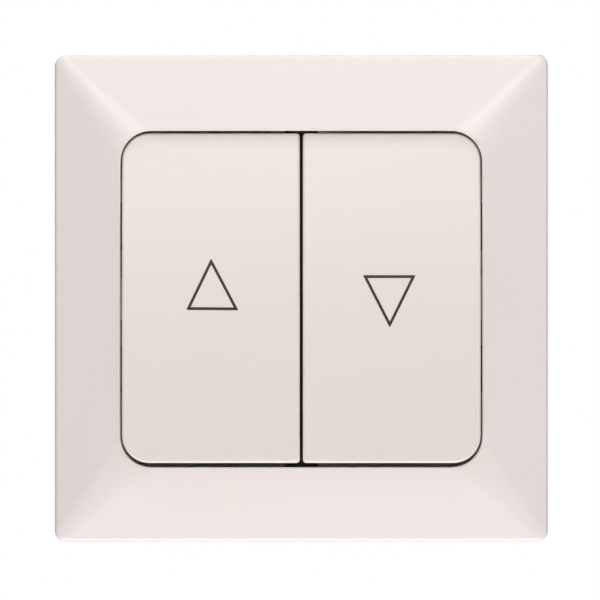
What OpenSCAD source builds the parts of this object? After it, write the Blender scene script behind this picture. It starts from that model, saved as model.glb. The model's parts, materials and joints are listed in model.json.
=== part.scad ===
// Flush-mounted roller shutter switch with two latching rockers, millimetres.
// +X points right, +Y into the wall and +Z up. The wall's surface is y = 0, so all that stands
// in front of it has a negative y, and the origin is midway between the box screws.
// A rocker pressed at its bottom turns its lever, whose sprung plunger throws a contact arm over.

/* [Cover frame] */
// Width of the cover frame
frame_w = 83; // [81:0.5:88]
// Height of the cover frame
frame_h = 82; // [80:0.5:88]
// Radius of the outer corners, seen from the front
frame_corner_r = 1.8; // [1.2:0.1:4]
// Height of the upright side above the wall
frame_side = 4.4; // [4:0.1:6]
// Radius of the rounded edge between side and bevel
frame_edge_r = 1; // [0.6:0.1:1.6]
// Distance of the lip round the opening from the wall
lip_front = 9.3; // [8.8:0.1:10]
// Depth of the opening's wall behind the lip
lip_depth = 2.2; // [1.8:0.1:2.6]
// Radius of the lip's front edge
lip_edge_r = 0.5; // [0.3:0.1:0.8]
// Thickness of the frame's shell
frame_wall = 2; // [1.5:0.1:2.4]
// Width of the opening for both rockers
opening_w = 60.8; // [60:0.1:62]
// Height of the opening
opening_h = 56.6; // [54:0.1:58]
// Corner radius of the opening
opening_r = 5.2; // [4:0.1:7]

/* [Rockers] */
// Distance of the face's middle from the wall
rocker_front = 10.4; // [10.2:0.1:11]
// Radius of the gently curved face
face_r = 400; // [250:10:800]
// Thickness of the rocker's shell
rocker_wall = 1.8; // [1.2:0.1:2]
// Radius of the edge round the face
rocker_edge_r = 0.45; // [0.3:0.05:0.6]
// Corner radius beside the gap between the rockers
rocker_inner_r = 0.6; // [0.55:0.05:1]
// Gap between a rocker and the opening's side
side_gap = 0.25; // [0.2:0.05:0.4]
// Gap between the two rockers
middle_gap = 0.5; // [0.4:0.05:0.8]
// Gap at each end of a level rocker
end_gap = 0.6; // [0.5:0.05:0.9]
// Distance of the skirt's rear edge from the wall, on a level rocker
skirt_rear = 5.2; // [5:0.1:5.5]
// Tilt to either side of level
tilt = 3.6; // [3:0.1:4]

/* [Lever] */
// Distance of the hinge from the wall
hinge_front = 6; // [5.9:0.05:6.1]
// Radius of the hinge pins
pin_r = 1.25; // [1:0.05:1.3]
// Length of a hinge pin
pin_l = 2.6; // [2.2:0.1:3]
// Running clearance of pins, plungers and fulcrums
running = 0.05; // [0.02:0.01:0.08]
// Width of the lever between its bearings
lever_w = 14.8; // [13:0.1:15.2]
// Height of the lever's plate
lever_h = 26; // [22:0.5:30]
// Thickness of the lever's plate
lever_t = 1.6; // [1.2:0.1:1.8]
// Width of the hollow stem, square in section
stem_w = 6; // [5.4:0.1:6.4]
// Distance of the stem's end from the hinge
stem_l = 9; // [8:0.1:9.4]
// Radius of the plunger
plunger_r = 1.5; // [1.2:0.05:1.8]
// Distance of the plunger's tip from the hinge
plunger_reach = 12; // [11.6:0.05:12.05]
// Length of the plunger
plunger_l = 6; // [5:0.1:6.5]
// Radius of the spring's wire
wire_r = 0.2; // [0.15:0.01:0.25]
// Turns of the plunger's spring
spring_turns = 6; // [5:1:8]
// Length of the fitted spring
spring_l = 3.6; // [3.2:0.1:4]

/* [Contacts] */
// Depth of the contact arm's fulcrum behind the wall's surface
pivot_depth = 7.3; // [7.25:0.05:7.6]
// Radius of the fulcrum's rounded edge
fulcrum_r = 0.6; // [0.5:0.05:0.7]
// Tilt of the contact arm to either side of level
arm_tilt = 8; // [6:0.5:9]
// Width of the contact arm
arm_w = 5; // [4:0.1:6]
// Thickness of the contact arm
arm_t = 0.8; // [0.6:0.05:1]
// Reach of the arm above its fulcrum
arm_up = 11.3; // [11:0.1:12]
// Reach of the arm below its fulcrum
arm_down = 7; // [6:0.1:8]
// Height of the contacts above the fulcrum
contact_z = 9.4; // [9:0.1:9.6]
// Radius of the silver contacts
contact_r = 1.6; // [1.2:0.1:1.8]
// Thickness of a silver contact
contact_t = 0.8; // [0.6:0.05:1]
// Clearance left between closed contacts
contact_gap = 0.1; // [0.05:0.05:0.2]

/* [Terminals] */
// Thickness of the terminal strips
strip_t = 1; // [0.8:0.1:1.2]
// Width of a terminal block
block_w = 6.5; // [6:0.1:7.5]
// Height of a terminal block
block_h = 8; // [7.5:0.1:9]
// Distance of an outer terminal from the middle
terminal_x = 14; // [13:0.1:15]
// Distance of a terminal block's inner side from the middle line
terminal_z = 11.5; // [11:0.1:12]
// Radius of the wire's bore
wire_bore_r = 1.6; // [1.3:0.05:1.8]
// Depth of the wire's bore
wire_bore_l = 8.4; // [7:0.1:9]
// Radius of the clamping screw's thread
clamp_screw_r = 1.5; // [1.25:0.05:1.75]
// Radius of the clamping screw's head
clamp_head_r = 2.5; // [2.2:0.1:2.8]
// Height of the clamping screw's head
clamp_head_h = 1.4; // [1.2:0.1:1.8]

/* [Bearing cover] */
// Room between the bearing cover's sides and the rockers' skirts
cover_gap = 0.35; // [0.3:0.05:0.8]
// Width of the bearing cover's edge on the plate, above and below the window
cover_lap = 1.5; // [1:0.1:1.6]
// Thickness of the bearing cover
cover_t = 1.5; // [1.3:0.1:1.7]
// Thickness of a bearing wall
bearing_t = 2.4; // [2:0.1:2.6]
// Wall of plastic round a hinge pin
bearing_ring = 0.8; // [0.6:0.05:0.9]
// Play of a lever between its bearing walls
side_play = 0.2; // [0.15:0.05:0.4]
// Reach of the ears that the snap tongues grip, beyond the opening
ear_reach = 2.6; // [2.4:0.1:3]
// Thickness of an ear
ear_t = 1; // [0.8:0.05:1.1]
// Distance of the snap tongues from the middle line
tongue_z = 12; // [10:0.5:15]
// Width of a snap tongue
tongue_w = 6; // [4:0.5:8]
// Thickness of a snap tongue
tongue_t = 1.4; // [1.2:0.1:1.6]
// Depth of the hook on a snap tongue
hook_l = 0.8; // [0.6:0.05:1]
// Clearance between a snap tongue and its ear
snap_gap = 0.1; // [0.05:0.05:0.2]

/* [Support plate] */
// Room between the support plate's edge and the inside of the cover frame
plate_margin = 3.5; // [2.5:0.1:4.5]
// Thickness of the support plate
plate_t = 1; // [0.8:0.1:1.2]
// Height of the plate's raised middle, which the housing sits behind
raise_h = 1; // [0.9:0.05:1.2]
// Room between the housing and the step of the raised middle
raise_gap = 1.5; // [1:0.1:1.6]
// Corner radius of the support plate
plate_r = 4; // [2:0.5:8]
// Room between the assembly screws' line and the edge of the plate's window
window_margin = 3.1; // [2.8:0.1:3.6]
// Distance between two opposite box screws
box_pitch = 60; // [59:0.5:61]
// Half width of a box screw's slot
slot_r = 1.75; // [1.6:0.05:2]
// Length of a box screw's slot, end to end
slot_l = 6.5; // [5:0.1:7]
// Radius left free for the head of a box screw
box_head_r = 4.2; // [3.8:0.1:4.4]

/* [Base housing] */
// Width across the housing's flat sides
housing_w = 46; // [45:0.5:48]
// Diameter across the housing's rounded corners
housing_d = 58; // [57:0.5:60]
// Depth of the housing
housing_depth = 23; // [22.5:0.5:26]
// Wall of the housing
housing_wall = 1.8; // [1.5:0.1:2]
// Thickness of the housing's rear wall
housing_floor = 2; // [1.6:0.1:2.4]
// Thickness of the walls between the contact chambers
partition_t = 1.5; // [1:0.1:2]
// Distance of the assembly screws from the middle, across
assembly_x = 7.2; // [7:0.1:7.4]
// Distance of the assembly screws from the middle, upwards
assembly_z = 17.4; // [17:0.1:17.8]
// Radius of an assembly screw's thread
assembly_r = 1.2; // [1:0.05:1.3]
// Radius of an assembly screw's head
assembly_head_r = 2.2; // [2:0.1:2.4]
// Length of an assembly screw below its head
assembly_l = 11; // [9:0.5:13]

/* [Hidden] */
$fn = 64;

// Steps round the full circle that the rocker's flat curve is part of
face_steps = 720;

// The up rocker is on the left, the down rocker on the right
UP = -1;
DOWN = 1;

// Play left where a piece seats on another
seat_gap = 0.1;

// Places that several pieces share, in the part's frame
rocker_w = (opening_w - 2 * side_gap - middle_gap) / 2;
rocker_h = opening_h - 2 * end_gap;
rocker_x = (middle_gap + rocker_w) / 2;
plate_w = min(frame_w, frame_h) - 2 * frame_wall - 2 * plate_margin;
window_w = 2 * (assembly_z + window_margin);
plate_front = -plate_t;
raised_rear = -raise_h;
raised_front = raised_rear - plate_t;
cover_front = raised_front - cover_t;
cover_w = opening_w - 2 * (side_gap + rocker_wall + cover_gap);
cover_h = window_w + 2 * cover_lap;
ear_end = opening_w / 2 + ear_reach;
strip_front = pivot_depth + 2.7;
wire_z = terminal_z + (block_h - 0.2) / 2 - 1;
floor_front = housing_depth - housing_floor;
block_rear = floor_front - seat_gap;
screw_y = (strip_front + block_rear) / 2;

// How far the curved face has dropped back at the height z
function face_drop(z) = face_r - sqrt(face_r * face_r - z * z);

// Places on a level rocker and its lever, counted from the hinge
face_y = hinge_front - rocker_front;
ceiling_y = face_y + rocker_wall;
skirt_y = hinge_front - skirt_rear;
lever_y = ceiling_y + face_drop(lever_h / 2) + seat_gap;
spring_end = plunger_reach - plunger_l;
spring_start = spring_end - spring_l;

// Cylinders and plates along the three axes, between two ends
module rod_x(r, x0, x1) {
    translate([x0, 0, 0])
        rotate([0, 90, 0])
            cylinder(r = r, h = x1 - x0);
}
module rod_y(r, y0, y1) {
    translate([0, y0, 0])
        rotate([-90, 0, 0])
            cylinder(r = r, h = y1 - y0);
}
module rod_z(r, z0, z1) {
    translate([0, 0, z0])
        cylinder(r = r, h = z1 - z0);
}
module slab(y0, y1) {
    translate([0, y1, 0])
        rotate([90, 0, 0])
            linear_extrude(y1 - y0)
                children();
}
module block(x, y, z) {
    translate([x[0], y[0], z[0]])
        cube([x[1] - x[0], y[1] - y[0], z[1] - z[0]]);
}
module rounded(w, h, r) {
    square([w - 2 * r, h], center = true);
    square([w, h - 2 * r], center = true);
    for (x = [-1, 1], z = [-1, 1])
        translate([x * (w / 2 - r), z * (h / 2 - r)])
            circle(r);
}
module slot(l, r) {
    square([l - 2 * r, 2 * r], center = true);
    for (x = [-1, 1])
        translate([x * (l / 2 - r), 0])
            circle(r);
}

// Drawn from the hinge of the rocker on this side, at the tilt of the rest position
module on_hinge(side) {
    translate([side * rocker_x, -hinge_front, 0])
        rotate([-tilt, 0, 0])
            children();
}

// A closed shell from rings of equal point counts, each ring joined to the next and the last to the first
module loop_loft(rings) {
    n = len(rings[0]);
    m = len(rings);
    polyhedron(
        points = [for (ring = rings) each ring],
        faces = [
            for (i = [0 : m - 1], j = [0 : n - 1])
                let (a = i * n + j, b = i * n + (j + 1) % n)
                let (c = (i + 1) % m * n + (j + 1) % n, d = (i + 1) % m * n + j)
                each [[a, c, b], [a, d, c]]
        ],
        convexity = 6
    );
}

// One ring of the frame: a rounded rectangle w by h with corners of radius r, at the depth y
corner_steps = 10;
function frame_ring(w, h, r, y) = [
    for (corner = [0 : 3], i = [0 : corner_steps])
        let (a = 90 * corner + 90 * i / corner_steps)
        let (sx = (corner == 0 || corner == 3) ? 1 : -1, sz = corner < 2 ? 1 : -1)
        [sx * (w / 2 - r) + r * cos(a), y, sz * (h / 2 - r) + r * sin(a)]
];

// The frame's section as rings: side, rounded edge, bevel, lip, opening, and back inside the shell.
// Corners grow from the small outer radius to the opening's, which makes the fanned mitres.
rim_gap = 0.2;
bevel_run = (frame_w - opening_w) / 2 - frame_edge_r;
bevel_angle = atan2(lip_front - frame_side - frame_edge_r, bevel_run);
edge_steps = 4;
frame_edge_rings = [
    for (i = [0 : edge_steps])
        let (a = (90 - bevel_angle) * i / edge_steps, inset = frame_edge_r * (1 - cos(a)))
        frame_ring(frame_w - 2 * inset, frame_h - 2 * inset, frame_corner_r,
            -frame_side - frame_edge_r * sin(a))
];
lip_rings = [
    for (i = [0 : edge_steps])
        let (a = bevel_angle + (90 - bevel_angle) * i / edge_steps, grow = lip_edge_r * (1 - sin(a)))
        frame_ring(opening_w + 2 * grow, opening_h + 2 * grow, opening_r + grow,
            -lip_front + lip_edge_r * (1 - cos(a)))
];
hollow_w = frame_w - 2 * frame_wall;
hollow_h = frame_h - 2 * frame_wall;
frame_rings = concat(
    [frame_ring(frame_w, frame_h, frame_corner_r, -rim_gap)],
    frame_edge_rings,
    lip_rings,
    [
        frame_ring(opening_w, opening_h, opening_r, -lip_front + lip_depth),
        frame_ring(hollow_w, hollow_h, frame_corner_r, -frame_side + frame_edge_r / 2),
        frame_ring(hollow_w, hollow_h, frame_corner_r, -rim_gap)
    ]
);

// A snap tongue on the right-hand ear, with its hook behind the ear's front edge
module snap_tongue() {
    x = ear_end + snap_gap;
    root = -lip_front + lip_depth;
    block([x, x + tongue_t], [root, plate_front - snap_gap], [-tongue_w / 2, tongue_w / 2]);
    block([x - hook_l, x + snap_gap], [raised_front + snap_gap, plate_front - snap_gap],
        [-tongue_w / 2, tongue_w / 2]);
}
module cover_frame() {
    color([0.95, 0.92, 0.90]) {
        loop_loft(frame_rings);
        for (side = [0, 1], z = [-1, 1])
            mirror([side, 0, 0])
                translate([0, 0, z * tongue_z])
                    snap_tongue();
    }
}

// Half the outline of a rocker at the inset a from its edge: points down the side whose corners have radius r
side_steps = 8;
function drops(r) = [for (i = [0 : corner_steps]) r * (1 - cos(90 * i / corner_steps))];
function heights(a) =
    let (h = rocker_h / 2 - a, d = drops(opening_r - end_gap - a))
    let (straight = h - d[corner_steps])
    concat(
        [for (i = [0 : corner_steps]) h - d[i]],
        [for (i = [1 : side_steps - 1]) straight * (1 - 2 * i / side_steps)],
        [for (i = [0 : corner_steps]) d[corner_steps - i] - h]
    );
function side_x(a, z, r) =
    let (over = max(0, abs(z) - (rocker_h / 2 - r)))
    rocker_w / 2 - r + sqrt(max(0, pow(r - a, 2) - over * over));

// One ring of a rocker: the big corners are on +X, the small ones beside the gap on -X.
// The side ring's depth follows the face, so lift is added to the face's own curve.
function rocker_ring(a, lift, flat) =
    let (zs = heights(a), k = len(zs))
    [
        for (i = [0 : 2 * k - 1])
            let (right = i < k, z = right ? zs[i] : zs[2 * k - 1 - i])
            let (x = right ? side_x(a, z, opening_r - end_gap) : -side_x(a, z, rocker_inner_r))
            [x, flat ? lift : face_y + face_drop(z) + lift, z]
    ];
rocker_rings = concat(
    [rocker_ring(0, skirt_y, true)],
    [
        for (i = [0 : edge_steps])
            let (a = 90 * i / edge_steps)
            rocker_ring(rocker_edge_r * (1 - cos(a)), rocker_edge_r * (1 - sin(a)), false)
    ]
);
module rocker_block() {
    n = len(rocker_rings[0]);
    m = len(rocker_rings);
    last = (m - 1) * n;
    polyhedron(
        points = [for (ring = rocker_rings) each ring],
        faces = concat(
            [[for (j = [0 : n - 1]) n - 1 - j]],
            [
                for (i = [0 : m - 2], j = [0 : n - 1])
                    let (a = i * n + j, b = i * n + (j + 1) % n)
                    each [[a, b, b + n], [a, b + n, a + n]]
            ],
            [
                for (k = [0 : n / 2 - 2])
                    [last + k, last + k + 1, last + n - 2 - k, last + n - 1 - k]
            ]
        ),
        convexity = 4
    );
}

// The rocker's inside: an even wall all round and a ceiling that follows the face
module rocker_cavity() {
    w = rocker_w - 2 * rocker_wall;
    h = rocker_h - 2 * rocker_wall;
    r = face_r - rocker_wall;
    intersection() {
        slab(face_y, skirt_y + 1)
            rounded(w, h, opening_r - end_gap - rocker_wall);
        translate([0, ceiling_y + r, 0])
            rod_x(r, -w, w, $fn = face_steps);
    }
}

// A hook grips one end of the lever's plate
hook_t = 1.4;
module clip_hook() {
    z = lever_h / 2 + seat_gap;
    rear = lever_y + lever_t + seat_gap;
    block([-lever_w / 4, lever_w / 4], [face_y + rocker_wall / 2, rear + 0.8], [z, z + hook_t]);
    block([-lever_w / 4, lever_w / 4], [rear, rear + 0.8], [z - 0.7, z + hook_t]);
}

// The rib that rests on the lever's plate, and the one across each end of the shell
module rocker_ribs() {
    rib_t = 1;
    for (z = [-1, 1]) {
        block([-lever_w / 2, lever_w / 2], [face_y + rocker_wall / 2, lever_y],
            [z * lever_h / 3 - rib_t / 2, z * lever_h / 3 + rib_t / 2]);
        block([-rocker_w / 2 + rocker_wall / 2, rocker_w / 2 - rocker_wall / 2],
            [face_y + rocker_wall, ceiling_y + 1.6],
            [z * rocker_h * 0.38 - rib_t / 2, z * rocker_h * 0.38 + rib_t / 2]);
    }
}
module rocker(side) {
    on_hinge(side)
        mirror([side == UP ? 1 : 0, 0, 0]) {
            difference() {
                rocker_block();
                rocker_cavity();
            }
            rocker_ribs();
            clip_hook();
            mirror([0, 0, 1])
                clip_hook();
        }
}
module rocker_up() { color([0.93, 0.89, 0.85]) rocker(UP); }
module rocker_down() { color([0.93, 0.89, 0.85]) rocker(DOWN); }

// The lever: a plate under the rocker, a hub with two hinge pins, and a hollow stem towards the contacts
module lever(side) {
    hub_r = pin_r + 0.7;
    bore_r = plunger_r + running;
    on_hinge(side)
        difference() {
            union() {
                block([-lever_w / 2, lever_w / 2], [lever_y, lever_y + lever_t], [-lever_h / 2, lever_h / 2]);
                block([-lever_w / 2, lever_w / 2], [lever_y + lever_t / 2, 0], [-hub_r, hub_r]);
                rod_x(hub_r, -lever_w / 2, lever_w / 2);
                rod_x(pin_r, -lever_w / 2 - side_play - pin_l, lever_w / 2 + side_play + pin_l);
                block([-stem_w / 2, stem_w / 2], [lever_y + lever_t / 2, stem_l], [-stem_w / 2, stem_w / 2]);
                for (x = [-1, 1])
                    translate([x * (lever_w / 2 - 0.6), 0, 0])
                        block([-0.6, 0.6], [lever_y + lever_t / 2, 0], [-hub_r * 2, hub_r * 2]);
            }
            rod_y(bore_r, spring_start, stem_l + 1);
        }
}
module lever_up() { color([0.35, 0.36, 0.38]) lever(UP); }
module lever_down() { color([0.35, 0.36, 0.38]) lever(DOWN); }

// A turned pin with a ball end, hollow behind for the spring's last turn
module plunger(side) {
    ball = plunger_r * 0.55;
    cone = plunger_r;
    on_hinge(side)
        rotate([-90, 0, 0])
            rotate_extrude() {
                polygon([
                    [0, spring_end], [plunger_r, spring_end], [plunger_r, plunger_reach - ball - cone],
                    [ball, plunger_reach - ball], [0, plunger_reach - ball]
                ]);
                intersection() {
                    translate([0, plunger_reach - ball])
                        circle(ball);
                    translate([0, plunger_reach - 2 * ball])
                        square([ball, 2 * ball]);
                }
            }
}
module plunger_up() { color([0.75, 0.75, 0.72]) plunger(UP); }
module plunger_down() { color([0.75, 0.75, 0.72]) plunger(DOWN); }

// A wound spring: a ring of points swept along the helix, closed at both ends
turn_steps = 14;
wire_sides = 6;
module plunger_spring(side) {
    steps = spring_turns * turn_steps;
    coil_r = plunger_r - wire_r - running;
    rise = spring_l - 2 * wire_r - 0.1;
    on_hinge(side)
        polyhedron(
            points = [
                for (i = [0 : steps], j = [0 : wire_sides - 1])
                    let (a = 360 * i / turn_steps, b = 360 * j / wire_sides, r = coil_r + wire_r * cos(b))
                    [r * cos(a), spring_start + 0.05 + wire_r + rise * i / steps + wire_r * sin(b), r * sin(a)]
            ],
            faces = concat(
                [[for (j = [0 : wire_sides - 1]) wire_sides - 1 - j]],
                [
                    for (i = [0 : steps - 1], j = [0 : wire_sides - 1])
                        let (a = i * wire_sides + j, b = i * wire_sides + (j + 1) % wire_sides)
                        each [[a, b, b + wire_sides], [a, b + wire_sides, a + wire_sides]]
                ],
                [[for (j = [0 : wire_sides - 1]) steps * wire_sides + j]]
            ),
            convexity = 10
        );
}
module plunger_spring_up() { color([0.7, 0.72, 0.75]) plunger_spring(UP); }
module plunger_spring_down() { color([0.7, 0.72, 0.75]) plunger_spring(DOWN); }

// Drawn from the fulcrum on this side, at the arm's rest position with its contact lifted off
module on_fulcrum(side) {
    translate([side * rocker_x, pivot_depth, 0])
        rotate([arm_tilt, 0, 0])
            children();
}
arm_front = -1.2;
module contact_arm(side) {
    groove_r = fulcrum_r + running;
    on_fulcrum(side)
        difference() {
            union() {
                block([-arm_w / 2, arm_w / 2], [arm_front, arm_front + arm_t], [-arm_down, arm_up]);
                block([-arm_w / 2, arm_w / 2], [arm_front, -0.2], [-1.6, 1.6]);
                translate([0, arm_front, -arm_down])
                    rotate([-35, 0, 0])
                        block([-arm_w / 2, arm_w / 2], [0, arm_t], [-1.8, 0.3]);
            }
            rod_x(groove_r, -arm_w, arm_w);
        }
}
module contact_arm_up() { color([0.80, 0.45, 0.25]) contact_arm(UP); }
module contact_arm_down() { color([0.80, 0.45, 0.25]) contact_arm(DOWN); }

// The arm's silver contact sits on its rear side
module moving_contact(side) {
    on_fulcrum(side)
        translate([0, 0, contact_z])
            rod_y(contact_r, arm_front + arm_t, arm_front + arm_t + contact_t);
}
module moving_contact_up() { color([0.85, 0.86, 0.86]) moving_contact(UP); }
module moving_contact_down() { color([0.85, 0.86, 0.86]) moving_contact(DOWN); }

// The fixed contact sits on its terminal's strip, where the closed arm's contact ends
contact_top = -contact_z * sin(-arm_tilt) + (arm_front + arm_t + contact_t) * cos(arm_tilt);
fixed_front = pivot_depth + contact_top + contact_r * sin(arm_tilt) + contact_gap;
fixed_z = contact_z * cos(arm_tilt);
module fixed_contact(side) {
    translate([side * rocker_x, 0, fixed_z])
        rod_y(contact_r, fixed_front, strip_front);
}
module fixed_contact_up() { color([0.85, 0.86, 0.86]) fixed_contact(UP); }
module fixed_contact_down() { color([0.85, 0.86, 0.86]) fixed_contact(DOWN); }

// A pillar terminal above the middle line: block, wire bore from behind and screw bore from above
module terminal_block() {
    difference() {
        block([-block_w / 2, block_w / 2], [strip_front, block_rear], [terminal_z, terminal_z + block_h]);
        translate([0, 0, wire_z])
            rod_y(wire_bore_r, block_rear - wire_bore_l, block_rear + 1);
        translate([0, screw_y, 0])
            rod_z(clamp_screw_r + running, wire_z, terminal_z + block_h + 1);
    }
}
module outer_terminal(side) {
    low = fixed_z - contact_r - 0.4;
    translate([side * terminal_x, 0, 0])
        terminal_block();
    translate([side * rocker_x, 0, 0])
        block([-arm_w / 2, arm_w / 2], [strip_front, strip_front + strip_t], [low, terminal_z + 1]);
}
module terminal_up() { color("goldenrod") outer_terminal(UP); }
module terminal_down() { color("goldenrod") outer_terminal(DOWN); }

// The common terminal carries both fulcrums on one strip and has its block below
module common_terminal() {
    strip_h = 5;
    color("goldenrod") {
        block([-rocker_x - arm_w / 2, rocker_x + arm_w / 2], [strip_front, strip_front + strip_t],
            [-strip_h / 2, strip_h / 2]);
        block([-2, 2], [strip_front, strip_front + strip_t], [-terminal_z - 1, 0]);
        mirror([0, 0, 1])
            terminal_block();
        for (side = [UP, DOWN])
            translate([side * rocker_x, 0, 0]) {
                block([-arm_w / 2, arm_w / 2], [pivot_depth, strip_front + strip_t / 2], [-fulcrum_r, fulcrum_r]);
                translate([0, pivot_depth, 0])
                    rod_x(fulcrum_r, -arm_w / 2, arm_w / 2);
            }
    }
}

// A clamping screw, open: its tip is just clear of the wire bore and its head clear of the block
screw_tip = wire_z + wire_bore_r + 0.2;
head_seat = terminal_z + block_h + 0.1;
module clamp_screw() {
    translate([0, screw_y, 0])
        difference() {
            union() {
                rod_z(clamp_screw_r, screw_tip, head_seat + 0.1);
                rod_z(clamp_head_r, head_seat, head_seat + clamp_head_h);
            }
            block([-clamp_head_r, clamp_head_r], [-0.3, 0.3],
                [head_seat + clamp_head_h - 0.7, head_seat + clamp_head_h + 1]);
        }
}
module terminal_screws() {
    color("silver") {
        for (side = [UP, DOWN])
            translate([side * terminal_x, 0, 0])
                clamp_screw();
        mirror([0, 0, 1])
            clamp_screw();
    }
}

// Each assembly screw passes the bearing cover and the plate into a boss of the housing
module at_assembly_screws() {
    for (x = [-1, 1], z = [-1, 1])
        translate([x * assembly_x, 0, z * assembly_z])
            children();
}
head_t = 1.2;
module assembly_screws() {
    seat = cover_front + head_t;
    color("silver")
        at_assembly_screws()
            difference() {
                union() {
                    rod_y(assembly_r, seat - 0.1, seat + assembly_l);
                    rod_y(assembly_head_r, cover_front, seat);
                }
                for (a = [0, 90])
                    rotate([0, a, 0])
                        block([-1.4, 1.4], [cover_front - 1, cover_front + 0.6], [-0.25, 0.25]);
            }
}

// The bearing cover: floor, ears for the tongues, spigot in the plate's window and four bearing walls
bearing_r = pin_r + running + bearing_ring;
module bearing_wall() {
    half = bearing_r;
    translate([0, -hinge_front, 0])
        rod_x(half, 0, bearing_t);
    block([0, bearing_t], [-hinge_front, cover_front + cover_t / 2], [-half, half]);
    block([0, bearing_t], [cover_front - 1, cover_front + cover_t / 2], [-half - 1.6, half + 1.6]);
}
module bearing_pair(side) {
    translate([side * rocker_x, 0, 0])
        for (m = [0, 1])
            mirror([m, 0, 0])
                translate([lever_w / 2 + side_play, 0, 0])
                    bearing_wall();
}
module bearing_bores(side) {
    x = lever_w / 2 + side_play + pin_l + 1;
    translate([side * rocker_x, -hinge_front, 0]) {
        rod_x(pin_r + running, -x, x);
        block([-x, x], [-bearing_r - 1, 0], [-pin_r * 0.8, pin_r * 0.8]);
    }
}
spigot_gap = 0.15;
window_r = 2.2;
module bearing_cover() {
    stem_slot = stem_w + 3;
    color([0.25, 0.26, 0.28])
        difference() {
            union() {
                slab(cover_front, raised_front)
                    rounded(cover_w, cover_h, plate_r);
                for (m = [0, 1], z = [-1, 1])
                    mirror([m, 0, 0])
                        translate([0, 0, z * tongue_z])
                            block([cover_w / 2 - 2, ear_end], [raised_front - ear_t, raised_front],
                                [-tongue_w / 2 - 1, tongue_w / 2 + 1]);
                slab(raised_front - 0.1, raised_rear)
                    rounded(window_w - 2 * spigot_gap, window_w - 2 * spigot_gap, window_r - spigot_gap);
                for (side = [UP, DOWN])
                    bearing_pair(side);
            }
            for (side = [UP, DOWN]) {
                bearing_bores(side);
                translate([side * rocker_x, 0, 0])
                    block([-stem_slot / 2, stem_slot / 2], [cover_front - 1, 1], [-stem_slot / 2, stem_slot / 2]);
            }
            for (side = [-1, 1])
                translate([side * box_pitch / 2, 0, 0])
                    rod_y(box_head_r, cover_front - 1, 1);
            at_assembly_screws() {
                rod_y(assembly_r + 0.15, cover_front - 1, 1);
                rod_y(assembly_head_r + 0.15, cover_front - 1, cover_front + head_t);
            }
        }
}

// The steel support plate: a flat rim on the wall with a slot for a box screw on each side, and a
// middle raised by its own thickness, which leaves room for the housing's edge behind it
module support_plate() {
    step_w = housing_w + 2 * raise_gap;
    color([0.72, 0.73, 0.75])
        difference() {
            union() {
                slab(plate_front, 0)
                    rounded(plate_w, plate_w, plate_r);
                slab(raised_front, raised_rear)
                    rounded(step_w + 2 * plate_t, step_w + 2 * plate_t, plate_r + plate_t);
            }
            slab(raised_rear, 1)
                rounded(step_w, step_w, plate_r);
            slab(raised_front - 1, 1)
                rounded(window_w, window_w, window_r);
            for (side = [-1, 1]) {
                translate([side * box_pitch / 2, 0, 0])
                    slab(plate_front - 1, 1)
                        slot(slot_l, slot_r);
                translate([0, 0, side * box_pitch / 2])
                    slab(plate_front - 1, 1)
                        rotate(90)
                            slot(slot_l, slot_r);
            }
        }
}

// The moulded housing: a pot with flat sides and rounded corners, chambers, bosses and terminal pockets
module housing_outline(grow) {
    intersection() {
        square(housing_w + 2 * grow, center = true);
        circle(housing_d / 2 + grow, $fn = 96);
    }
}
boss_r = 2.6;
module base_housing() {
    strip_rear = strip_front + strip_t;
    access_r = clamp_head_r + 0.3;
    wall_z = housing_w / 2;
    inner_z = wall_z - housing_wall;
    arm_room = arm_w / 2 + 0.4;
    color([0.30, 0.30, 0.32])
        difference() {
            union() {
                difference() {
                    slab(raised_rear, housing_depth)
                        housing_outline(0);
                    slab(raised_rear - 1, floor_front)
                        housing_outline(-housing_wall);
                }
                at_assembly_screws()
                    rod_y(boss_r, raised_rear, floor_front + 0.5);
                for (x = [-1, 1], m = [0, 1])
                    mirror([0, 0, m])
                        translate([x * assembly_x, 0, 0])
                            block([-0.6, 0.6], [raised_rear, floor_front + 0.5],
                                [assembly_z + boss_r / 2, inner_z + 0.5]);
                for (m = [0, 1])
                    mirror([m, 0, 0])
                        translate([rocker_x, 0, 0]) {
                            block([-arm_room - partition_t, -arm_room], [pivot_depth, floor_front + 0.5], [-9, 9]);
                            block([-1.5, 1.5], [strip_rear, floor_front + 0.5], [-2, 2]);
                        }
                block([-1.5, 1.5], [strip_rear, floor_front + 0.5], [-4, 2]);
            }
            block([-rocker_x, rocker_x], [0, strip_rear], [-2.6, 2.6]);
            at_assembly_screws()
                rod_y(assembly_r + 0.02, -1, assembly_l);
            for (side = [UP, DOWN])
                translate([side * terminal_x, 0, 0]) {
                    translate([0, 0, wire_z])
                        rod_y(wire_bore_r + 0.6, floor_front - 1, housing_depth + 1);
                    translate([0, screw_y, 0])
                        rod_z(access_r, wall_z - housing_wall - 1, wall_z + 1);
                }
            translate([0, 0, -wire_z])
                rod_y(wire_bore_r + 0.6, floor_front - 1, housing_depth + 1);
            translate([0, screw_y, 0])
                rod_z(access_r, -wall_z - 1, -wall_z + housing_wall + 1);
        }
}

cover_frame();
rocker_up();
rocker_down();
lever_up();
lever_down();
plunger_up();
plunger_down();
plunger_spring_up();
plunger_spring_down();
contact_arm_up();
contact_arm_down();
moving_contact_up();
moving_contact_down();
fixed_contact_up();
fixed_contact_down();
common_terminal();
terminal_up();
terminal_down();
terminal_screws();
bearing_cover();
support_plate();
base_housing();
assembly_screws();
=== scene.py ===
# %% [markdown]
# # A roller shutter switch, dressed
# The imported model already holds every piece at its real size: frame, rockers, levers, contacts,
# terminals, plate and housing. This script gives them their finish, prints the two arrows on the
# rockers, lights the switch like a catalogue picture and puts the camera where the photograph's
# stood.

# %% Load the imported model
import json
import math

import bmesh
import bpy
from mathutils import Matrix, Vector
from mathutils.bvhtree import BVHTree


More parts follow.
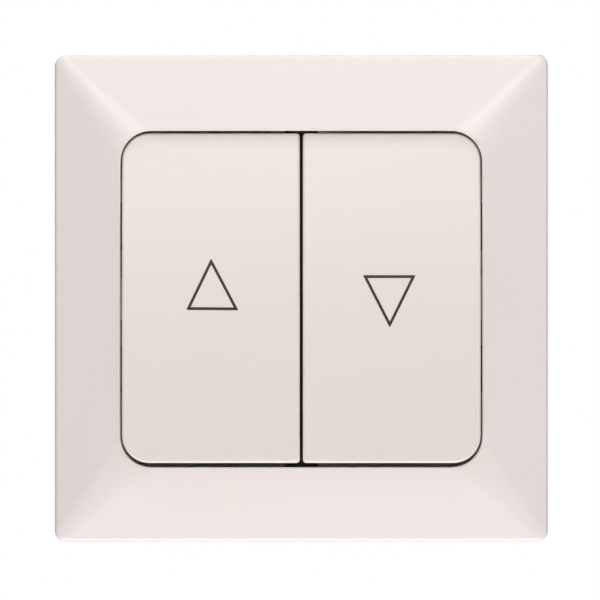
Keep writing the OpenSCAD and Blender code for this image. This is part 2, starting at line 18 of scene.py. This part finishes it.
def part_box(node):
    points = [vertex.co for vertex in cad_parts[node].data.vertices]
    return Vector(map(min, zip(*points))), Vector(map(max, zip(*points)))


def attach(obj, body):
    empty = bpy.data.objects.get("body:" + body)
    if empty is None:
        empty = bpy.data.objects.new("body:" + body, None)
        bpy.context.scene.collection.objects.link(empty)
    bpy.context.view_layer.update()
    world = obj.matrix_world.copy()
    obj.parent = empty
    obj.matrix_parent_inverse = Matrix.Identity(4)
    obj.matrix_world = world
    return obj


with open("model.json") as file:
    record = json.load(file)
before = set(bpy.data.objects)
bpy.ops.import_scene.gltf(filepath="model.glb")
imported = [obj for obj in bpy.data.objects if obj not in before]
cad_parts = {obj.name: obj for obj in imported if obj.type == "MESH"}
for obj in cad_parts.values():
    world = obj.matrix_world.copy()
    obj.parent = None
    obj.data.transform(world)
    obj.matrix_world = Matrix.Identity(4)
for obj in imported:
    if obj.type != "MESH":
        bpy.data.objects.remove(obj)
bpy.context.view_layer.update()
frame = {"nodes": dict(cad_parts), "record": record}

MM = 0.001
MICRON = 0.000001
WHITE = (1, 1, 1, 1)
nodes = frame["nodes"]

# %% [markdown]
# ## The camera
# The photograph looks at the switch almost straight on, from a little above. The picture is 600
# pixels wide and the cover frame fills 493 of them, so the lens follows from the distance and the
# frame's real width. A long lens keeps the sides as parallel as they are in the picture: the
# cover frame looks hardly larger at its top than at its bottom.

# %% Camera from the picture's own measures
PICTURE_PX = 600
FRAME_PX = 493.0
FRAME_CENTRE_PX = (301.3, 298.25)
CAMERA_DISTANCE = 3.2
CAMERA_ELEVATION = math.radians(2.0)
SENSOR_MM = 36.0
CLIP_RANGE = (0.01, 20.0)

frame_low, frame_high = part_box("cover_frame")
frame_width = frame_high.x - frame_low.x
px_size = frame_width / FRAME_PX
aim = Vector((
    -(FRAME_CENTRE_PX[0] - PICTURE_PX / 2) * px_size,
    (frame_low.y + frame_high.y) / 2,
    (FRAME_CENTRE_PX[1] - PICTURE_PX / 2) * px_size,
))

camera = bpy.data.objects.new("camera", bpy.data.cameras.new("camera"))
bpy.context.scene.collection.objects.link(camera)
bpy.context.scene.camera = camera
camera.data.type = "PERSP"
camera.data.sensor_width = SENSOR_MM
camera.data.lens = SENSOR_MM * CAMERA_DISTANCE / (PICTURE_PX * px_size)
camera.data.clip_start, camera.data.clip_end = CLIP_RANGE
camera_back = Vector((0, -math.cos(CAMERA_ELEVATION), math.sin(CAMERA_ELEVATION)))
camera.location = aim + camera_back * CAMERA_DISTANCE
camera.rotation_mode = "QUATERNION"
camera.rotation_quaternion = (-camera_back).to_track_quat("-Z", "Y")
print("lens in mm:", round(camera.data.lens, 1), "one pixel in mm:", round(px_size / MM, 4))

# %% [markdown]
# ## A white room
# The room is white to the camera but dim to the object, so that white plastic still shows its
# shading. A Light Path node tells the camera's rays from all others.

# %% White room
ROOM_WHITE = 1.0
ROOM_LIGHT = 0.06

scene = bpy.context.scene
scene.view_settings.view_transform = "Standard"
scene.view_settings.look = "None"

world = bpy.data.worlds.new("white_room")
scene.world = world
world.use_nodes = True
world_tree = world.node_tree
world_tree.nodes.clear()
world_out = world_tree.nodes.new("ShaderNodeOutputWorld")
to_camera = world_tree.nodes.new("ShaderNodeLightPath")
pick = world_tree.nodes.new("ShaderNodeMixShader")
world_tree.links.new(to_camera.outputs["Is Camera Ray"], pick.inputs["Fac"])
for socket, strength in ((pick.inputs[1], ROOM_LIGHT), (pick.inputs[2], ROOM_WHITE)):
    glow = world_tree.nodes.new("ShaderNodeBackground")
    glow.inputs["Color"].default_value = WHITE
    glow.inputs["Strength"].default_value = strength
    world_tree.links.new(glow.outputs["Background"], socket)
world_tree.links.new(pick.outputs["Shader"], world_out.inputs["Surface"])
print("room white:", ROOM_WHITE, "room light:", ROOM_LIGHT)

# %% [markdown]
# ## The lights
# The top and bottom bevels of the photographed frame are brighter than its left and right ones,
# and the rockers fade a little towards their lower ends. Light that comes almost from overhead
# and almost from below does the first, and a soft box in front, higher than the camera, does the
# second: the slowly turning faces mirror less and less of it. Two faint boxes at the sides lift
# the left and the right bevel, the right one a little more. The strengths were set by rendering
# each box alone and weighing them against the brightness of the bands and of the faces. The box
# behind shows the housing in views from the back and doesn't reach the front.

# %% Soft boxes
SOFT_BOXES = {
    "top_steep": {"place": (0.0, -0.12, 0.62), "size": (0.9, 0.3), "watts": 1.45},
    "top_high": {"place": (0.0, -0.42, 0.60), "size": (0.9, 0.3), "watts": 2.4},
    "front": {"place": (0.0, -1.30, 0.47), "size": (0.8, 0.4), "watts": 7.4},
    "bottom_steep": {"place": (0.0, -0.12, -0.62), "size": (0.9, 0.3), "watts": 4.2},
    "left_steep": {"place": (-0.62, -0.12, 0.0), "size": (0.3, 0.9), "watts": 0.25},
    "right_steep": {"place": (0.62, -0.12, 0.0), "size": (0.3, 0.9), "watts": 0.6},
    "behind": {"place": (-0.30, 1.10, 0.35), "size": (0.8, 0.6), "watts": 1.0, "spread": 40.0},
}


def soft_box(name, place, size, watts, spread=180.0):
    """An area light that faces the middle of the switch; a narrow spread spares the floor."""
    light = bpy.data.lights.new(name, "AREA")
    light.shape = "RECTANGLE"
    light.size, light.size_y = size
    light.energy = watts
    light.spread = math.radians(spread)
    holder = bpy.data.objects.new(name, light)
    scene.collection.objects.link(holder)
    holder.location = place
    holder.rotation_mode = "QUATERNION"
    holder.rotation_quaternion = (aim - Vector(place)).to_track_quat("-Z", "Y")
    holder.visible_camera = False


for name, box in SOFT_BOXES.items():
    soft_box(name, **box)
print("soft boxes:", ", ".join(SOFT_BOXES))

# %% [markdown]
# ## The floor
# The floor lies far below the switch and out of the main picture.

# %% Floor
FLOOR_BELOW = 0.75
FLOOR_HALF = 2.5

floor_z = frame_low.z - FLOOR_BELOW
floor_mesh = bpy.data.meshes.new("floor")
floor = bpy.data.objects.new("floor", floor_mesh)
scene.collection.objects.link(floor)
shape = bmesh.new()
bmesh.ops.create_grid(shape, x_segments=2, y_segments=2, size=FLOOR_HALF)
shape.to_mesh(floor_mesh)
shape.free()
floor.location = (0, 0, floor_z)
print("floor at mm:", round(floor_z / MM))

# %% [markdown]
# ## A workshop for materials
# Every finish here is procedural: it is worked out from the surface's own place, so it has the
# right scale on a screw and on the frame alike and needs no picture. Effects that several
# finishes share are node groups with named inputs. A group only hands out colours and values, and
# the shader itself stays in each material, where it is easy to read and to change.

# %% Helpers for node trees
def new_group(name, inputs, outputs):
    """An empty node group; inputs and outputs are {name: default}, a number or a colour."""
    group = bpy.data.node_groups.new(name, "ShaderNodeTree")
    for direction, sockets in (("INPUT", inputs), ("OUTPUT", outputs)):
        for label, default in sockets.items():
            kind = "NodeSocketFloat" if isinstance(default, (int, float)) else "NodeSocketColor"
            socket = group.interface.new_socket(label, in_out=direction, socket_type=kind)
            if direction == "INPUT":
                socket.default_value = default if kind == "NodeSocketFloat" else (*default, 1.0)
    return group, group.nodes.new("NodeGroupInput"), group.nodes.new("NodeGroupOutput")


def feed(tree, value, socket):
    """Links another socket to this one, or sets a number or an (r, g, b) as its own value."""
    if isinstance(value, bpy.types.NodeSocket):
        tree.links.new(value, socket)
    else:
        socket.default_value = value if isinstance(value, (int, float)) else (*value, 1.0)


def math_node(tree, operation, first, second):
    """A Math node whose inputs may be numbers or sockets; returns its output."""
    node = tree.nodes.new("ShaderNodeMath")
    node.operation = operation
    feed(tree, first, node.inputs[0])
    feed(tree, second, node.inputs[1])
    return node.outputs["Value"]


def noise_node(tree, where, scale, detail):
    """A Noise texture at the place in where; scale may be a socket."""
    node = tree.nodes.new("ShaderNodeTexNoise")
    feed(tree, detail, node.inputs["Detail"])
    feed(tree, where, node.inputs["Vector"])
    feed(tree, scale, node.inputs["Scale"])
    return node.outputs["Fac"]


def stretch(tree, value, low, high):
    """The value from 0..1 stretched to low..high, where low and high may be sockets."""
    node = tree.nodes.new("ShaderNodeMapRange")
    feed(tree, value, node.inputs["Value"])
    feed(tree, low, node.inputs["To Min"])
    feed(tree, high, node.inputs["To Max"])
    return node.outputs["Result"]


def blend_colours(tree, amount, first, second):
    """A Mix node between two colours, each a socket or an (r, g, b)."""
    node = tree.nodes.new("ShaderNodeMix")
    node.data_type = "RGBA"
    for index, value in ((0, amount), (6, first), (7, second)):
        feed(tree, value, node.inputs[index])
    return node.outputs[2]


def own_place(tree):
    """The surface's place on its own object, in metres."""
    return tree.nodes.new("ShaderNodeTexCoord").outputs["Object"]


print("helpers ready")

# %% [markdown]
# ## Moulded skin
# This is the effect that an injection mould leaves on plastic: a faint even grain from the spark-
# eroded steel, and very shallow waves where the wall cooled. The grain sets the roughness too.

# %% Node group: moulded skin
skin_group, skin_in, skin_out = new_group(
    "moulded_skin",
    {"Grain Per Metre": 4000.0, "Wave Per Metre": 60.0, "Wave Share": 0.5,
     "Roughness Low": 0.3, "Roughness High": 0.4},
    {"Height": 0.0, "Roughness": 0.0},
)
skin_place = own_place(skin_group)
skin_grain = noise_node(skin_group, skin_place, skin_in.outputs["Grain Per Metre"], detail=3.0)
skin_wave = noise_node(skin_group, skin_place, skin_in.outputs["Wave Per Metre"], detail=1.0)
wave_part = math_node(skin_group, "MULTIPLY", skin_wave, skin_in.outputs["Wave Share"])
skin_height = math_node(skin_group, "ADD", skin_grain, wave_part)
skin_rough = stretch(skin_group, skin_grain,
                     skin_in.outputs["Roughness Low"], skin_in.outputs["Roughness High"])
skin_group.links.new(skin_height, skin_out.inputs["Height"])
skin_group.links.new(skin_rough, skin_out.inputs["Roughness"])
print("group:", skin_group.name)

# %% [markdown]
# ## Soft tint
# A pigment never mixes perfectly. This effect shifts a colour a little over broad patches and,
# less, in fine specks.

# %% Node group: soft tint
PATCH_SHARE = 0.7

tint_group, tint_in, tint_out = new_group(
    "soft_tint",
    {"Colour": (0.8, 0.8, 0.8), "Shifted Colour": (0.7, 0.7, 0.7), "Patches Per Metre": 40.0,
     "Speck Per Metre": 2500.0, "Speck Share": 0.3},
    {"Colour": (0, 0, 0)},
)
tint_place = own_place(tint_group)
tint_patch = noise_node(tint_group, tint_place, tint_in.outputs["Patches Per Metre"], detail=2.0)
tint_speck = noise_node(tint_group, tint_place, tint_in.outputs["Speck Per Metre"], detail=1.0)
speck_part = math_node(tint_group, "MULTIPLY", tint_speck, tint_in.outputs["Speck Share"])
patch_part = math_node(tint_group, "MULTIPLY", tint_patch, PATCH_SHARE)
tint_amount = math_node(tint_group, "ADD", patch_part, speck_part)
tint_colour = blend_colours(tint_group, tint_amount,
                            tint_in.outputs["Colour"], tint_in.outputs["Shifted Colour"])
tint_group.links.new(tint_colour, tint_out.inputs["Colour"])
print("group:", tint_group.name)

# %% [markdown]
# ## Drawn metal
# Rolling and drawing scratch a strip or a wire along its length. A noise that is squeezed along
# one axis gives such lines, and a broad, soft noise lets them wear unevenly.

# %% Node group: drawn metal
BLOOM_PER_METRE = 120.0
WEAR_GAIN = 1.6

drawn_group, drawn_in, drawn_out = new_group(
    "drawn_metal",
    {"Along X": 1.0, "Along Y": 1.0, "Along Z": 1.0, "Lines Per Metre": 6000.0,
     "Roughness Low": 0.25, "Roughness High": 0.45,
     "Colour": (0.7, 0.7, 0.7), "Worn Colour": (0.6, 0.6, 0.6)},
    {"Colour": (0, 0, 0), "Roughness": 0.0, "Height": 0.0},
)
drawn_place = own_place(drawn_group)
drawn_split = drawn_group.nodes.new("ShaderNodeSeparateXYZ")
drawn_group.links.new(drawn_place, drawn_split.inputs[0])
drawn_join = drawn_group.nodes.new("ShaderNodeCombineXYZ")
for axis in "XYZ":
    squeezed = math_node(drawn_group, "MULTIPLY",
                         drawn_split.outputs[axis], drawn_in.outputs["Along " + axis])
    drawn_group.links.new(squeezed, drawn_join.inputs[axis])
drawn_lines = noise_node(drawn_group, drawn_join.outputs[0],
                         drawn_in.outputs["Lines Per Metre"], detail=4.0)
drawn_bloom = noise_node(drawn_group, drawn_place, BLOOM_PER_METRE, detail=3.0)
drawn_rough = stretch(drawn_group, drawn_lines,
                      drawn_in.outputs["Roughness Low"], drawn_in.outputs["Roughness High"])
drawn_mix = math_node(drawn_group, "MULTIPLY", drawn_bloom, drawn_lines)
drawn_wear = math_node(drawn_group, "MULTIPLY", drawn_mix, WEAR_GAIN)
drawn_colour = blend_colours(drawn_group, drawn_wear,
                             drawn_in.outputs["Colour"], drawn_in.outputs["Worn Colour"])
drawn_group.links.new(drawn_colour, drawn_out.inputs["Colour"])
drawn_group.links.new(drawn_rough, drawn_out.inputs["Roughness"])
drawn_group.links.new(drawn_lines, drawn_out.inputs["Height"])
print("group:", drawn_group.name)

# %% [markdown]
# ## The frame of a material
# A plastic and a metal need different groups but the same frame round them: one shader, the
# group's colour and roughness, and a Bump node that turns the group's height into tiny relief.

# %% Shader, group and relief
def srgb(r, g, b):
    """A colour picked from a picture, 0 to 255, as the linear values that a shader wants."""
    return tuple((v / 255 / 12.92) if v <= 10 else ((v / 255 + 0.055) / 1.055) ** 2.4
                 for v in (r, g, b))


def start_material(name):
    """A material with a bare shader; returns the material, its tree and the shader."""
    material = bpy.data.materials.new(name)
    material.use_nodes = True
    tree = material.node_tree
    return material, tree, tree.nodes["Principled BSDF"]


def place_group(tree, group, **values):
    """The group in a material's tree, with its inputs set; underscores stand for spaces."""
    node = tree.nodes.new("ShaderNodeGroup")
    node.node_tree = group
    for label, value in values.items():
        feed(tree, value, node.inputs[label.replace("_", " ")])
    return node


def add_relief(tree, shader, height, distance):
    """Feeds a height through a Bump node into the shader's normal; distance is in metres."""
    bump = tree.nodes.new("ShaderNodeBump")
    bump.inputs["Distance"].default_value = distance
    bump.inputs["Strength"].default_value = 1.0
    tree.links.new(height, bump.inputs["Height"])
    tree.links.new(bump.outputs["Normal"], shader.inputs["Normal"])


print("frame of a material ready")

# %% [markdown]
# ## Plastic and metal
# Each maker sets only what differs from one finish to the next. Values that are the same all
# over, such as the clear coat's share, are set on the shader's own sockets.

# %% Makers of plastic and metal
METAL_RELIEF = 4 * MICRON


def plastic(name, colour, shifted, rough, grain, relief, coat=0.0, coat_rough=0.1):
    """A moulded plastic from the skin and tint groups; its two colours are 0 to 255."""
    material, tree, shader = start_material(name)
    skin = place_group(tree, skin_group, Grain_Per_Metre=grain,
                       Roughness_Low=rough[0], Roughness_High=rough[1])
    tint = place_group(tree, tint_group, Colour=srgb(*colour), Shifted_Colour=srgb(*shifted))
    tree.links.new(tint.outputs["Colour"], shader.inputs["Base Color"])
    tree.links.new(skin.outputs["Roughness"], shader.inputs["Roughness"])
    add_relief(tree, shader, skin.outputs["Height"], relief)
    shader.inputs["Coat Weight"].default_value = coat
    shader.inputs["Coat Roughness"].default_value = coat_rough
    return material


def metal(name, colour, worn, rough, along=(1.0, 1.0, 1.0)):
    """A rolled, drawn or turned metal; along is small on the axis that its lines run on."""
    material, tree, shader = start_material(name)
    drawn = place_group(tree, drawn_group, Along_X=along[0], Along_Y=along[1], Along_Z=along[2],
                        Roughness_Low=rough[0], Roughness_High=rough[1],
                        Colour=srgb(*colour), Worn_Colour=srgb(*worn))
    tree.links.new(drawn.outputs["Colour"], shader.inputs["Base Color"])
    tree.links.new(drawn.outputs["Roughness"], shader.inputs["Roughness"])
    add_relief(tree, shader, drawn.outputs["Height"], METAL_RELIEF)
    shader.inputs["Metallic"].default_value = 1.0
    return material


print("makers ready")

# %% [markdown]
# ## The plastics
# The frame is a pearl white with a breath of pink, the rockers are creamier; both are lacquered
# plastic with a soft sheen. Inside, nothing needs to look good, so levers and cover are plain
# dark matt mouldings and the housing is a darker heat-proof moulding. The arrows are printed in
# ink.

# %% Plastics and ink
finishes = {
    "frame_plastic": plastic("frame_pearl", (245, 235, 232), (242, 231, 227), rough=(0.30, 0.38),
                             grain=5200.0, relief=4 * MICRON, coat=0.25, coat_rough=0.18),
    "rocker_plastic": plastic("rocker_cream", (241, 232, 224), (238, 228, 219), rough=(0.34, 0.42),
                              grain=5200.0, relief=4 * MICRON, coat=0.15, coat_rough=0.22),
    "lever_plastic": plastic("lever_moulding", (98, 100, 104), (84, 86, 90), rough=(0.42, 0.58),
                             grain=3000.0, relief=20 * MICRON),
    "cover_plastic": plastic("cover_moulding", (74, 75, 78), (60, 61, 64), rough=(0.45, 0.62),
                             grain=2600.0, relief=20 * MICRON),
    "housing_plastic": plastic("housing_moulding", (52, 51, 52), (38, 37, 38), rough=(0.42, 0.62),
                               grain=1800.0, relief=40 * MICRON),
    "arrow_ink": plastic("arrow_ink", (30, 26, 23), (22, 19, 17), rough=(0.38, 0.5),
                         grain=6000.0, relief=6 * MICRON),
}
print("plastics and ink:", ", ".join(finishes))

# %% [markdown]
# ## The metals
# Strips, plungers, springs and screws show how they were made: rolled brass and copper, turned
# brass, spring wire, and steel under a thin bluish layer of zinc.

# %% Metals
finishes.update({
    "terminal_brass": metal("rolled_brass", (214, 178, 98), (170, 128, 62),
                            rough=(0.22, 0.42), along=(0.05, 1.0, 1.0)),
    "contact_copper": metal("rolled_copper", (214, 142, 104), (160, 92, 62),
                            rough=(0.25, 0.45), along=(1.0, 1.0, 0.05)),
    "contact_silver": metal("silver_contact", (232, 232, 228), (190, 186, 176), rough=(0.18, 0.34)),
    "plunger_metal": metal("turned_brass", (206, 172, 100), (160, 122, 64),
                           rough=(0.2, 0.36), along=(1.0, 0.05, 1.0)),
    "spring_steel": metal("spring_wire", (176, 179, 184), (120, 120, 122), rough=(0.22, 0.40)),
    "plate_steel": metal("zinc_plate", (198, 202, 206), (160, 165, 172),
                         rough=(0.26, 0.48), along=(0.04, 1.0, 1.0)),
    "screw_steel": metal("zinc_screw", (204, 206, 206), (150, 152, 156), rough=(0.24, 0.42)),
})
print("finishes:", len(finishes))

# %% [markdown]
# ## Paper for the floor
# The floor is paper in a dim room, so it gets the room's treatment: most of what the camera sees
# of it is an even pale glow that lights nothing, and the rest is the paper with its shading.

# %% A pale floor in a dim room
FLOOR_GLOW = 0.82
FLOOR_GLOW_SHARE = 0.85

paper = plastic("floor_paper", (250, 250, 250), (246, 246, 246), rough=(0.7, 0.8),
                grain=300.0, relief=20 * MICRON)
floor.data.materials.append(paper)
paper_tree = paper.node_tree
paper_out = paper_tree.nodes["Material Output"]
paper_glow = paper_tree.nodes.new("ShaderNodeEmission")
paper_glow.inputs["Color"].default_value = WHITE
paper_glow.inputs["Strength"].default_value = FLOOR_GLOW
paper_mix = paper_tree.nodes.new("ShaderNodeMixShader")
paper_ray = paper_tree.nodes.new("ShaderNodeLightPath")
paper_share = math_node(paper_tree, "MULTIPLY",
                        paper_ray.outputs["Is Camera Ray"], FLOOR_GLOW_SHARE)
paper_tree.links.new(paper_share, paper_mix.inputs["Fac"])
paper_tree.links.new(paper_tree.nodes["Principled BSDF"].outputs["BSDF"], paper_mix.inputs[1])
paper_tree.links.new(paper_glow.outputs["Emission"], paper_mix.inputs[2])
paper_tree.links.new(paper_mix.outputs["Shader"], paper_out.inputs["Surface"])
print("floor glow:", FLOOR_GLOW, "share:", FLOOR_GLOW_SHARE)

# %% [markdown]
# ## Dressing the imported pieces
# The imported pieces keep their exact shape. What they lack is the tiny break of every edge, which
# is what catches the light on real mouldings and stampings. A modifier chain adds it without
# touching the mesh itself: weld the seams, bevel the sharp edges by a tenth or two of a
# millimetre, then weight the normals by area, so that flat faces stay flat and the small ones
# carry the turn.

# %% Slots, finishes and edge breaks
EDGE_BREAK_MM = {
    "cover_frame": 0, "rocker_up": 0, "rocker_down": 0,
    "lever_up": 0.15, "lever_down": 0.15, "bearing_cover": 0.15, "base_housing": 0.25,
    "support_plate": 0.12, "plunger_spring_up": 0, "plunger_spring_down": 0,
}
OTHER_BREAK_MM = 0.08
BREAK_SEGMENTS = 2
SHARP_ANGLE = math.radians(32)
WELD_MM = 0.001
AREA_WEIGHT = 100

slot_of = {entry["node"]: entry["material_slot"] for entry in frame["record"]["subparts"]}


def break_edges(piece, width_mm):
    """Adds the small bevel on every edge that turns more than SHARP_ANGLE."""
    edge = piece.modifiers.new("edge_break", "BEVEL")
    edge.width = width_mm * MM
    edge.segments = BREAK_SEGMENTS
    edge.limit_method = "ANGLE"
    edge.angle_limit = SHARP_ANGLE
    edge.use_clamp_overlap = True


def dress(node):
    """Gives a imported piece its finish, smooth shading and, where it has one, its edge break."""
    piece = nodes[node]
    piece.data.materials.clear()
    piece.data.materials.append(finishes[slot_of[node]])
    piece.data.polygons.foreach_set("use_smooth", [True] * len(piece.data.polygons))
    weld = piece.modifiers.new("weld", "WELD")
    weld.merge_threshold = WELD_MM * MM
    width_mm = EDGE_BREAK_MM.get(node, OTHER_BREAK_MM)
    if width_mm:
        break_edges(piece, width_mm)
    even = piece.modifiers.new("even_normals", "WEIGHTED_NORMAL")
    even.mode = "FACE_AREA"
    even.weight = AREA_WEIGHT
    return width_mm


widths = {node: dress(node) for node in sorted(nodes)}
print("dressed:", len(widths), "with an edge break:", sum(1 for w in widths.values() if w))

# %% [markdown]
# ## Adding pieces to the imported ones
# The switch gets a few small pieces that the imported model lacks. Some of them are laid on a
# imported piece: a ray from in front of the switch, straight inwards, finds the surface that they
# lie on.

# %% New pieces and rays
RAY_FROM_Y = -0.05
INWARDS = Vector((0, 1, 0))


def new_piece(name, shape, finish):
    """Makes an object of a bmesh, with its faces turned outwards, and frees the bmesh."""
    bmesh.ops.recalc_face_normals(shape, faces=shape.faces)
    mesh = bpy.data.meshes.new(name)
    shape.to_mesh(mesh)
    shape.free()
    mesh.materials.append(finish)
    piece = bpy.data.objects.new(name, mesh)
    scene.collection.objects.link(piece)
    return piece


def surface_of(node):
    """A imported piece's surface as a tree that rays can be cast at."""
    return BVHTree.FromObject(nodes[node], bpy.context.evaluated_depsgraph_get())


def front_at(surface, x, z):
    """The y of the surface's foremost point at x and z, all in metres."""
    return surface.ray_cast(Vector((x, RAY_FROM_Y, z)), INWARDS)[0].y


print("rays start at y in mm:", RAY_FROM_Y / MM)

# %% [markdown]
# ## Small forms behind the gaps
# Through the thin gap round the rockers the eye would meet the plate's screw slots, and the white
# room behind them. Real mouldings close that line of sight. Each rocker has a lug beside its
# hinge that runs behind the frame's lip, and the bearing cover has a thin tongue above and below
# that lies on the support plate. The lugs ride on the rockers and are drawn at the tilt that
# these have at rest.

# %% Lugs and tongues
REST_TILT = math.radians(3.6)
HINGE_Y_MM = -6.0
LUG_REACH_MM = 0.6
LUG_ROOT_MM = 0.9
LUG_BEHIND_HINGE_MM = (-0.1, 0.8)
LUG_HALF_MM = 3.5
TONGUE_HALF_MM = 2.8
TONGUE_FROM_MM = 21.6
TONGUE_TO_MM = 28.8
TONGUE_THICK_MM = 0.4
TONGUE_STEPS = 24


def lofted(name, rings, body, node):
    """A closed piece from rings of four corners; it rides on body and has the finish of node."""
    shape = bmesh.new()
    levels = [[shape.verts.new(Vector(corner) * MM) for corner in ring] for ring in rings]
    for here, there in zip(levels, levels[1:]):
        for i in range(4):
            j = (i + 1) % 4
            shape.faces.new((here[i], here[j], there[j], there[i]))
    shape.faces.new(levels[0])
    shape.faces.new(levels[-1])
    piece = new_piece(name, shape, finishes[slot_of[node]])
    break_edges(piece, OTHER_BREAK_MM)
    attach(piece, body)
    return piece


def tilted(x, y, z):
    """A point given from the hinge, in millimetres, at the rocker's tilt at rest."""
    return (x, HINGE_Y_MM + y * math.cos(REST_TILT) + z * math.sin(REST_TILT),
            z * math.cos(REST_TILT) - y * math.sin(REST_TILT))


def side_lug(name, rocker, body, side):
    """The lug beside the hinge, on the rocker's outer side (-1 is left, 1 is right)."""
    low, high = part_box(rocker)
    outer = (low.x if side < 0 else high.x) / MM
    near, far = LUG_BEHIND_HINGE_MM
    corners = ((near, -LUG_HALF_MM), (far, -LUG_HALF_MM), (far, LUG_HALF_MM), (near, LUG_HALF_MM))
    rings = [[tilted(x, y, z) for y, z in corners]
             for x in (outer - side * LUG_ROOT_MM, outer + side * LUG_REACH_MM)]
    return lofted(name, rings, body, rocker)


def plate_tongue(name, side):
    """A thin strip on the support plate, from the bearing cover outwards (1 is up, -1 is down)."""
    plate = surface_of("support_plate")
    rings = []
    for k in range(TONGUE_STEPS + 1):
        z = side * (TONGUE_FROM_MM + (TONGUE_TO_MM - TONGUE_FROM_MM) * k / TONGUE_STEPS)
        rear = front_at(plate, TONGUE_HALF_MM * MM, z * MM) / MM
        front = rear - TONGUE_THICK_MM
        rings.append([(-TONGUE_HALF_MM, front, z), (TONGUE_HALF_MM, front, z),
                      (TONGUE_HALF_MM, rear, z), (-TONGUE_HALF_MM, rear, z)])
    return lofted(name, rings, "base", "bearing_cover")


small_forms = [
    side_lug("side_lug_up", "rocker_up", "up_rocker", -1),
    side_lug("side_lug_down", "rocker_down", "down_rocker", 1),
    plate_tongue("plate_tongue_top", 1),
    plate_tongue("plate_tongue_bottom", -1),
]
print("small forms:", [piece.name for piece in small_forms])

# %% [markdown]
# ## The outline of an arrow
# Each rocker carries a printed triangle in outline, pointing up on the left one and down on the
# right one. Its line has two edges: the outer triangle, and the same one with its sides moved
# inwards. Both have slightly rounded corners and are counted in points that match one by one.

# %% Outline of a triangle
SIDE_STEPS = 14
CORNER_STEPS = 4


def inset_corners(corners, inset):
    """The triangle with every side moved inwards by inset."""
    middle = sum(corners, Vector((0, 0))) / 3
    moved = []
    for i, here in enumerate(corners):
        normals = []
        for other in (corners[i - 1], corners[(i + 1) % 3]):
            along = (other - here).normalized()
            normal = Vector((-along.y, along.x))
            if normal.dot(middle - here) < 0:
                normal = -normal
            normals.append(normal)
        half = normals[0] + normals[1]
        moved.append(here + half * (inset / half.dot(normals[0])))
    return moved


def triangle_loop(corners, radius):
    """The outline with rounded corners, as evenly counted points."""
    arcs = []
    for i, here in enumerate(corners):
        before = (corners[i - 1] - here).normalized()
        after = (corners[(i + 1) % 3] - here).normalized()
        half_angle = before.angle(after) / 2
        centre = here + (before + after).normalized() * (radius / math.sin(half_angle))
        first = here + before * (radius / math.tan(half_angle)) - centre
        last = here + after * (radius / math.tan(half_angle)) - centre
        arcs.append([centre + first.lerp(last, k / CORNER_STEPS).normalized() * radius
                     for k in range(CORNER_STEPS + 1)])
    loop = []
    for i, arc in enumerate(arcs):
        start, end = arc[-1], arcs[(i + 1) % 3][0]
        loop += arc + [start.lerp(end, k / SIDE_STEPS) for k in range(1, SIDE_STEPS)]
    return loop


print("points in an outline:", 3 * (CORNER_STEPS + SIDE_STEPS))

# %% [markdown]
# ## Printing the two arrows
# The corners are given as pixels of the photograph. A ray from the camera through each of them
# finds the place on the rocker, and the line is then laid on the curved face point by point, a
# hair thick, as a pad-printed mark is. It rides on the rocker's body and tilts with it.

# %% Printed triangles
ARROWS_PX = {
    "arrow_up": {"rocker": "rocker_up", "body": "up_rocker",
                 "corners": ((211.1, 258.3), (238.5, 310.3), (186.2, 309.9))},
    "arrow_down": {"rocker": "rocker_down", "body": "down_rocker",
                   "corners": ((389.8, 327.8), (362.9, 275.2), (415.7, 275.2))},
}
STROKE_MM = 0.47
INK_MM = 0.03
INK_SUNK_MM = INK_MM / 3
CORNER_MM = 0.12
INNER_CORNER_MM = CORNER_MM / 2


def through_pixel(px, py):
    """The camera's ray through a pixel of the photograph, as a direction."""
    reach = SENSOR_MM / camera.data.lens / PICTURE_PX
    local = Vector(((px - PICTURE_PX / 2) * reach, -(py - PICTURE_PX / 2) * reach, -1))
    return (camera.rotation_quaternion @ local).normalized()


def on_face(surface, px, py):
    """Where that ray meets the rocker, as (x, z)."""
    place = surface.ray_cast(camera.location, through_pixel(px, py))[0]
    return Vector((place.x, place.z))


def print_arrow(name, rocker, body, corners):
    """Builds the outlined triangle on its rocker's face and lets it ride on the rocker."""
    surface = surface_of(rocker)
    outer = [on_face(surface, *corner) for corner in corners]
    loops = (triangle_loop(outer, CORNER_MM * MM),
             triangle_loop(inset_corners(outer, STROKE_MM * MM), INNER_CORNER_MM * MM))
    shape = bmesh.new()
    levels = []
    for lift in (-INK_MM * MM, INK_SUNK_MM * MM):
        for loop in loops:
            places = [(p.x, front_at(surface, p.x, p.y) + lift, p.y) for p in loop]
            levels.append([shape.verts.new(place) for place in places])
    front_outer, front_inner, rear_outer, rear_inner = levels
    count = len(front_outer)
    for i in range(count):
        j = (i + 1) % count
        for a, b in ((front_outer, front_inner), (front_inner, rear_inner),
                     (rear_inner, rear_outer), (rear_outer, front_outer)):
            shape.faces.new((a[i], a[j], b[j], b[i]))
    arrow = new_piece(name, shape, finishes["arrow_ink"])
    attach(arrow, body)
    width = (max(p.x for p in loops[0]) - min(p.x for p in loops[0])) / MM
    height = (max(p.y for p in loops[0]) - min(p.y for p in loops[0])) / MM
    print(name, "width and height in mm:", round(width, 2), round(height, 2))


for name, arrow in ARROWS_PX.items():
    print_arrow(name, **arrow)
